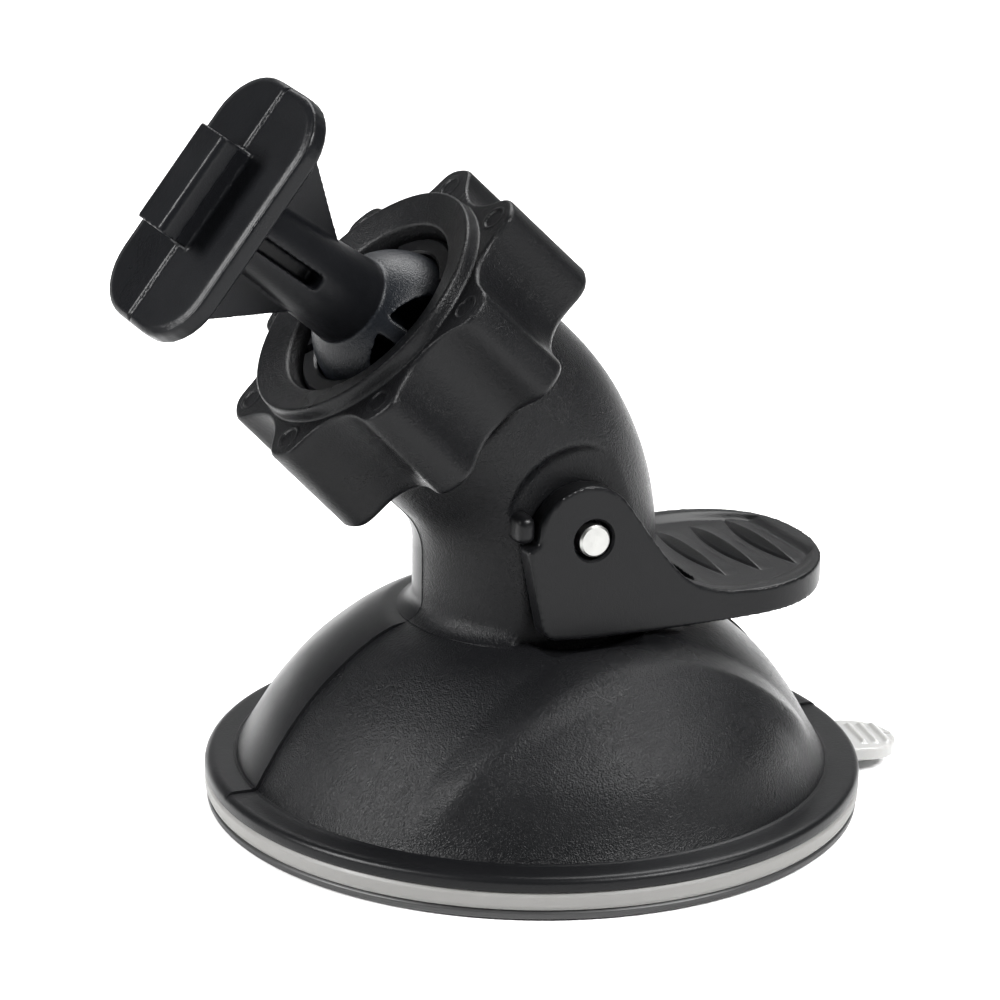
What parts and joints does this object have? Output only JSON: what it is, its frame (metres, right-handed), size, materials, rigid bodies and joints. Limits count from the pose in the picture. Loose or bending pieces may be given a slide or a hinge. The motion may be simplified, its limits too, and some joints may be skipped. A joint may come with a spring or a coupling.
{
  "type": "dash camera suction mount",
  "caption": "Suction-cup windscreen mount with a cam lever, a lobed clamp knob and a swivelling ball stud that ends in a T-rail plate.",
  "frame": {"origin": "centre of the suction face, on the plane that lies on the glass", "axes": "+Z away from the glass, +X towards the lever's paddle, the neck leans towards -X, the lever pin lies along Y"},
  "size_m": [0.0823, 0.066, 0.075],
  "materials": {
    "shell": "fine spark-eroded texture",
    "lever": "satin",
    "knob": "fine spark-eroded texture",
    "stud": "satin",
    "post": "satin",
    "pad": "translucent grey, smooth",
    "gel": "tacky, smooth",
    "pin": "zinc plated",
    "spring": "drawn wire",
    "washer": "plain"
  },
  "bodies": {
    "root": {"base_shell": "shell", "suction_pad": "pad", "gel_layer": "gel", "spring_washer": "washer", "return_spring": "spring"},
    "post": {"pull_post": "post", "lever_pin": "pin"},
    "lever": {"cam_lever": "lever"},
    "knob": {"clamp_knob": "knob"},
    "ball_turn": {"ball_core_left": "stud"},
    "ball_swing": {"ball_core_right": "stud"},
    "stud": {"ball_stud": "stud"}
  },
  "joints": [
    {"name": "post_slide", "type": "slide", "parent": "root", "child": "post", "axis": [0, 0, -1], "range_m": [0, 0.002], "deforming": ["return_spring"]},
    {"name": "lever_lift", "type": "hinge", "parent": "post", "child": "lever", "pos_m": [0, 0, 0.03033], "axis": [0, -1, 0], "range_deg": [0, 75]},
    {"name": "knob_turn", "type": "hinge", "parent": "root", "child": "knob", "pos_m": [-0.01414, 0, 0.04804], "axis": [-0.7071, 0, 0.7071], "range_deg": [0, 270]},
    {"name": "ball_turn", "type": "hinge", "parent": "root", "child": "ball_turn", "pos_m": [-0.01545, 0, 0.04935], "axis": [-0.7071, 0, 0.7071], "continuous": true},
    {"name": "ball_swing", "type": "hinge", "parent": "ball_turn", "child": "ball_swing", "pos_m": [-0.01545, 0, 0.04935], "axis": [0, 1, 0], "range_deg": [-25, 41]},
    {"name": "ball_spin", "type": "hinge", "parent": "ball_swing", "child": "stud", "pos_m": [-0.01545, 0, 0.04935], "axis": [-0.7844, -0.2102, 0.5835], "continuous": true}
  ],
  "couplings": [
    {"joint": "lever_lift", "follows": "post_slide", "rad_per_m": 654.4}
  ]
}
